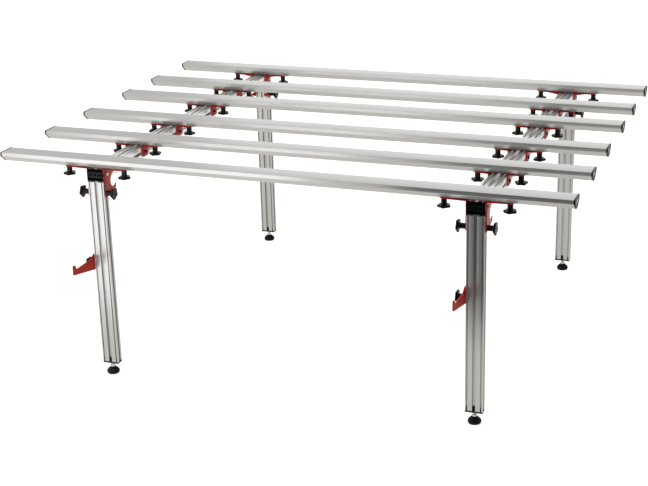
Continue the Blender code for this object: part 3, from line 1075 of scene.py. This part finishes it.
@dataclass
class Feet:
    """Four levelling feet: a rubber bell, a nut and a threaded stud."""

    rim_radius: float = 0.0205
    neck_radius: float = 0.0075
    base_radius: float = 0.0185
    bell_height: float = 0.022
    rim_height: float = 0.008
    cone_share: float = 0.45
    skirt_steps: int = 6
    cone_steps: int = 10
    nut_flats: float = 0.0145
    nut_height: float = 0.006
    nut_ease: float = 0.001
    nut_face_radius: float = 0.007395
    stud_radius: float = 0.005
    thread_depth: float = 0.0006
    thread_pitch: float = 0.0015
    sides: int = 48

    def bell(self) -> bpy.types.Mesh:
        """The rubber bell: a rounded skirt under a cone that draws in to the neck.

        Returns:
            The bell's mesh, standing at zero.
        """
        rings = []
        for step in range(self.skirt_steps + 1):
            share = step / self.skirt_steps
            bulge = math.sin(math.pi / 2 * share)
            radius = self.base_radius + (self.rim_radius - self.base_radius) * bulge
            rings.append(round_ring(radius, self.rim_height * share, self.sides))
        rise = self.bell_height - self.rim_height
        for step in range(1, self.cone_steps + 1):
            share = step / self.cone_steps
            curve = 1 - math.cos(math.pi / 2 * share)
            draw = self.cone_share * share + (1 - self.cone_share) * curve
            radius = self.rim_radius - (self.rim_radius - self.neck_radius) * draw
            rings.append(round_ring(radius, self.rim_height + rise * share, self.sides))
        return loft("foot_bell", rings)

    def nut(self) -> bpy.types.Mesh:
        """The hexagonal nut on the bell, with eased corners.

        Returns:
            The nut's mesh.
        """
        low, high = self.bell_height, self.bell_height + self.nut_height
        flat = hexagon(self.nut_flats, self.sides)
        face = [min(radius, self.nut_face_radius) for radius in flat]
        rows = ((face, low), (flat, low + self.nut_ease), (flat, high - self.nut_ease), (face, high))
        return loft("foot_nut", [round_ring(radii, height, self.sides) for radii, height in rows])

    def stud(self, top: float) -> bpy.types.Mesh:
        """The threaded stud, from the nut to its end in the leg.

        Args:
            top: the height of its end.

        Returns:
            The stud's mesh.
        """
        start = self.bell_height + self.nut_height
        turns = int((top - start) / self.thread_pitch)
        sides = self.sides // 2
        rings = []
        for turn in range(turns):
            root = start + turn * self.thread_pitch
            rings.append(round_ring(self.stud_radius - self.thread_depth, root, sides))
            rings.append(round_ring(self.stud_radius, root + self.thread_pitch / 2, sides))
        return loft("foot_stud", rings, math.pi)

    def build(self) -> None:
        """Make the feet."""
        bell, nut = self.bell(), self.nut()
        stud = self.stud(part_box("foot_front_left")[1].z)
        for end in End:
            for rail in Rail:
                node = f"foot_{end.value}_{rail.value}"
                centre = middle(node)
                body = body_of(node)
                place = Matrix.Translation((centre.x, centre.y, 0))
                put(f"{node}_bell", bell, FOOT_RUBBER, body, place, [node])
                put(f"{node}_nut", nut, ZINC_STEEL, body, place)
                put(f"{node}_stud", stud, ZINC_STEEL, body, place)


@dataclass
class Hooks:
    """Two support hooks of flat steel plate on the front legs."""

    tip_width: float = 0.011
    tip_slope: float = 0.007
    tip_low: float = 0.026
    seat: float = 0.040
    heel_run: float = 0.018
    heel_top: float = 0.040
    root_top: float = 0.051
    root_depth: float = 0.027
    stud_hole: float = 0.0043
    knob_rise: float = 0.0155
    corner_radii: tuple[float, ...] = (0.002, 0.004, 0.006, 0.004, 0.004, 0.003, 0.003, 0.006, 0.004)
    edge: float = 0.0006

    def build(self) -> None:
        """Make the hooks."""
        for rail in Rail:
            node = f"hook_{rail.value}"
            low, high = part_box(node)
            put(f"{node}_plate", self.shape(low, high), RED_COAT, body_of(node), None, [node])

    def shape(self, low: Vector, high: Vector) -> bpy.types.Mesh:
        """A hook's plate within its node's box.

        Args:
            low: the box's lowest corner.
            high: its highest corner.

        Returns:
            The plate's mesh, in place.
        """
        tip, root = low.y, high.y - self.root_depth
        top, base = high.z, low.z
        corners = [
            (high.y, base + self.root_top),
            (high.y, base),
            (root, base),
            (tip, base + self.tip_low),
            (tip, top),
            (tip + self.tip_width, top),
            (tip + self.tip_width + self.tip_slope, base + self.seat),
            (root - self.heel_run, base + self.heel_top),
            (root, base + self.root_top),
        ]
        hole = circle(self.stud_hole, (high.y - self.root_depth / 2, base + self.knob_rise), 20)
        outline = rounded(corners, self.corner_radii)
        return eased(plate("hook_plate", [outline, hole], low.x, high.x, "YZ"), self.edge)


@dataclass
class Brackets:
    """The red sheet-metal angles at each crossing, and the bolts that hold them to the rails' sides."""

    bolt_radius: float = 0.0055
    bolt_height: float = 0.0038
    bolt_crown: float = 0.62
    bolt_rim: float = 0.25
    bolt_steps: int = 5
    socket_flats: float = 0.005
    socket_sink: float = 0.0022
    hinge_bolt_in: float = 0.008
    edge: float = 0.0005
    tie_width: float = 0.005
    lap: float = 0.0002
    sides: int = 36

    def bolt(self) -> bpy.types.Mesh:
        """A button-head bolt along Z with a hexagonal socket.

        Returns:
            The bolt's mesh, seated at zero.
        """
        socket = hexagon(self.socket_flats, self.sides)
        rows: list[tuple[Any, float]] = [(self.bolt_radius, 0.0)]
        for step in range(self.bolt_steps + 1):
            turn = math.pi / 2 * step / self.bolt_steps
            radius = self.bolt_radius * (self.bolt_crown + (1 - self.bolt_crown) * math.cos(turn))
            height = self.bolt_height * (self.bolt_rim + (1 - self.bolt_rim) * math.sin(turn))
            rows.append((radius, height))
        rows += [(socket, self.bolt_height), (socket, self.bolt_height - self.socket_sink)]
        return loft("rail_bolt", [round_ring(radii, height, self.sides) for radii, height in rows])

    def build(self) -> None:
        """Make the angles and their bolts."""
        bolts = {finish: self.bolt() for finish in (BLACK_STEEL, ZINC_STEEL)}
        for node in sorted(name for name in frame["nodes"] if "bracket" in name):
            hand = node.rsplit("_", 1)[1]
            rail = f"rail_{hand}"
            angles = self.angles(node, rail)
            put(f"{node}_angles", angles, RED_COAT, body_of(node), None, [node])
            centre = middle(rail)
            along = middle(node).y
            reach = self.plate_reach(node)
            finish = BLACK_STEEL
            if node.startswith("hinge"):
                finish = ZINC_STEEL
                end = End.FRONT if "front" in node else End.BACK
                along = middle(f"leg_{end.value}_{hand}").y + end.inward * self.hinge_bolt_in
            for side, turn in (("right", math.pi / 2), ("left", -math.pi / 2)):
                seat = Matrix.Translation((centre.x + math.copysign(reach, turn), along, centre.z))
                place = seat @ Matrix.Rotation(turn, 4, "Y")
                put(f"{node}_bolt_{side}", bolts[finish], finish, body_of(node), place)

    def angles(self, node: str, rail: str) -> bpy.types.Mesh:
        """The two angles of a crossing: the node's shape, its strap cut to a narrow tie under the slat.

        Args:
            node: the bracket's node.
            rail: the rail's node.

        Returns:
            The angles' mesh, in place.
        """
        low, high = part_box(rail)
        front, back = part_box(node)
        half, reach, tie = (high.x - low.x) / 2 - self.lap, back.y - front.y, self.tie_width / 2
        above = back.z - high.z
        slats = [middle(name).y for name in frame["nodes"] if name.startswith("slat")]
        along = min(slats, key=lambda slat: abs(slat - middle(node).y))
        place = Matrix.Translation((middle(rail).x, along, high.z - above / 2))
        sheet = frame["nodes"][node].data.copy()
        for way in (-1, 1):
            outline = [(-half, way * tie), (half, way * tie), (half, way * reach), (-half, way * reach)]
            sheet = bored(sheet, plate("parting", [outline], 0.0, 2 * above, "XY"), place)
        return eased(sheet, self.edge)

    def plate_reach(self, node: str) -> float:
        """How far a bracket's upright plates stand from the rail's middle.

        Args:
            node: the bracket's node.

        Returns:
            The distance to their outer faces.
        """
        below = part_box(node)[0].z
        centre = middle(node).x
        corners = [corner.co for corner in frame["nodes"][node].data.vertices]
        return max(abs(corner.x - centre) for corner in corners if corner.z < below + self.bolt_radius)


@dataclass(frozen=True)
class Softbox:
    """A soft rectangular lamp, bright to the radiance that a mirror would show."""

    name: str
    place: tuple[float, float, float]
    target: tuple[float, float, float]
    size: tuple[float, float]
    radiance: float

    def build(self) -> None:
        """Hang the lamp."""
        light = bpy.data.lights.new(self.name, "AREA")
        light.shape = "RECTANGLE"
        light.size, light.size_y = self.size
        light.energy = self.radiance * math.pi * self.size[0] * self.size[1]
        lamp = bpy.data.objects.new(self.name, light)
        lamp.location = self.place
        lamp.rotation_mode = "QUATERNION"
        lamp.rotation_quaternion = (Vector(self.target) - Vector(self.place)).to_track_quat("-Z", "Y")
        lamp.visible_camera = False
        bpy.context.scene.collection.objects.link(lamp)


@dataclass(frozen=True)
class Card:
    """A board that stands outside the picture, and shows only in reflections."""

    name: str
    colour: str
    level: float
    place: tuple[float, float, float]
    size: Point

    def build(self) -> None:
        """Stand the board up, facing along Y."""
        half = self.size[0] / 2
        corners = [(-half, 0.0), (half, 0.0), (half, self.size[1]), (-half, self.size[1])]
        form = bmesh.new()
        form.faces.new([form.verts.new((across, 0.0, up)) for across, up in corners])
        sheet = bpy.data.objects.new(self.name, cleaned(form, self.name))
        sheet.location = self.place
        made = bpy.data.materials.new(f"{self.name}_matt_board")
        made.use_nodes = True
        shader = made.node_tree.nodes["Principled BSDF"]
        shader.inputs["Base Color"].default_value = linear("#000000")
        shader.inputs["Specular IOR Level"].default_value = 0.0
        shader.inputs["Emission Color"].default_value = linear(self.colour)
        shader.inputs["Emission Strength"].default_value = self.level
        sheet.data.materials.append(made)
        bpy.context.scene.collection.objects.link(sheet)
        sheet.visible_camera = False
        sheet.visible_diffuse = False
        sheet.visible_shadow = False


SOFTBOXES = (
    Softbox("back_panel", (-0.7, 3.8, 2.0), (0.0, 0.0, 0.7), (3.0, 2.0), 0.9),
    Softbox("left_panel", (-3.4, -1.0, 3.0), (0.0, 0.0, 0.5), (2.4, 2.4), 1.3),
    Softbox("top_panel", (0.6, -0.6, 4.0), (0.0, 0.0, 0.0), (3.0, 3.0), 1.35),
    Softbox("front_panel", (2.8, -3.6, 2.4), (0.0, 0.0, 0.5), (2.2, 2.2), 0.5),
)
CARDS = (
    Card("bright_card", "#FFFFFF", 2.6, (-0.71, -1.2, 0.0), (1.18, 1.25)),
    Card("dark_card", "#3C3E42", 1.0, (1.1, -1.2, 0.06), (1.8, 1.4)),
)


@dataclass
class Studio:
    """A plain white studio: a pale floor, a white surround, soft lamps, cards and the camera."""

    floor_size: float = 14.0
    floor_colour: str = "#F5F3EE"
    floor_glow: float = 0.64
    floor_drop: float = 0.0005
    floor_roughness: float = 0.9
    floor_specular: float = 0.1
    floor_squares: int = 8
    surround_light: float = 0.5
    camera_place: tuple[float, float, float] = (1.52935, -4.21643, 1.90166)
    camera_azimuth: float = 20.753
    camera_elevation: float = 19.722
    camera_roll: float = -1.599
    lens: float = 77.58
    sensor: float = 36.0

    def build(self) -> None:
        """Make the floor, the surround, the lamps and the camera."""
        bpy.context.scene.view_settings.view_transform = "Standard"
        self.floor()
        self.surround()
        for piece in (*SOFTBOXES, *CARDS):
            piece.build()
        self.camera()

    def floor(self) -> None:
        """A pale floor that shows white and keeps the table's shadow."""
        form = bmesh.new()
        squares = self.floor_squares
        bmesh.ops.create_grid(form, x_segments=squares, y_segments=squares, size=self.floor_size / 2)
        ground = bpy.data.objects.new("floor", cleaned(form, "floor"))
        ground.location.z = -self.floor_drop
        made = bpy.data.materials.new("matt_paper_sweep")
        made.use_nodes = True
        tree = made.node_tree
        shader = tree.nodes["Principled BSDF"]
        shader.inputs["Base Color"].default_value = linear(self.floor_colour)
        shader.inputs["Roughness"].default_value = self.floor_roughness
        shader.inputs["Specular IOR Level"].default_value = self.floor_specular
        seen = self.seen(tree)
        settings = {"operation": "MULTIPLY", 1: self.floor_glow}
        glow = add_node(tree, "ShaderNodeMath", settings, {0: seen})
        shader.inputs["Emission Color"].default_value = linear(self.floor_colour)
        tree.links.new(glow.outputs[0], shader.inputs["Emission Strength"])
        ground.data.materials.append(made)
        bpy.context.scene.collection.objects.link(ground)

    def seen(self, tree: bpy.types.NodeTree) -> bpy.types.NodeSocket:
        """One where a ray shows the background, whether straight or by reflection, and zero for its light.

        Args:
            tree: the nodes that need it.

        Returns:
            The socket.
        """
        path = add_node(tree, "ShaderNodeLightPath")
        glossy = add_node(
            tree,
            "ShaderNodeMath",
            {"operation": "MAXIMUM"},
            {0: path.outputs["Is Camera Ray"], 1: path.outputs["Is Glossy Ray"]},
        )
        every = add_node(
            tree,
            "ShaderNodeMath",
            {"operation": "MAXIMUM"},
            {0: glossy.outputs[0], 1: path.outputs["Is Transmission Ray"]},
        )
        return every.outputs[0]

    def surround(self) -> None:
        """A white surround, which lights the table more softly than it shows."""
        world = bpy.data.worlds.new("white_surround")
        bpy.context.scene.world = world
        world.use_nodes = True
        tree = world.node_tree
        seen = self.seen(tree)
        settings = {"To Min": self.surround_light, "To Max": 1.0}
        level = add_node(tree, "ShaderNodeMapRange", settings, {"Value": seen})
        glow = tree.nodes["Background"]
        glow.inputs["Color"].default_value = linear("#FFFFFF")
        tree.links.new(level.outputs[0], glow.inputs["Strength"])

    def camera(self) -> None:
        """The camera, at the photograph's viewing angle."""
        data = bpy.data.cameras.new("camera")
        data.lens = self.lens
        data.sensor_width = self.sensor
        camera = bpy.data.objects.new("camera", data)
        azimuth = Matrix.Rotation(math.radians(self.camera_azimuth), 4, "Z")
        tilt = Matrix.Rotation(math.radians(90 - self.camera_elevation), 4, "X")
        roll = Matrix.Rotation(math.radians(self.camera_roll), 4, "Z")
        camera.matrix_world = Matrix.Translation(self.camera_place) @ azimuth @ tilt @ roll
        bpy.context.scene.collection.objects.link(camera)
        bpy.context.scene.camera = camera


def main() -> None:
    """Build the table's looks and its studio in order."""
    logging.basicConfig(level=logging.INFO, format="%(message)s")
    for assembly in (Rails(), Legs(), Feet(), Brackets(), Slats(), StarKnobs(), Hooks()):
        assembly.build()
        log.info("%s done", type(assembly).__name__)
    Studio().build()


if __name__ == "__main__":
    main()
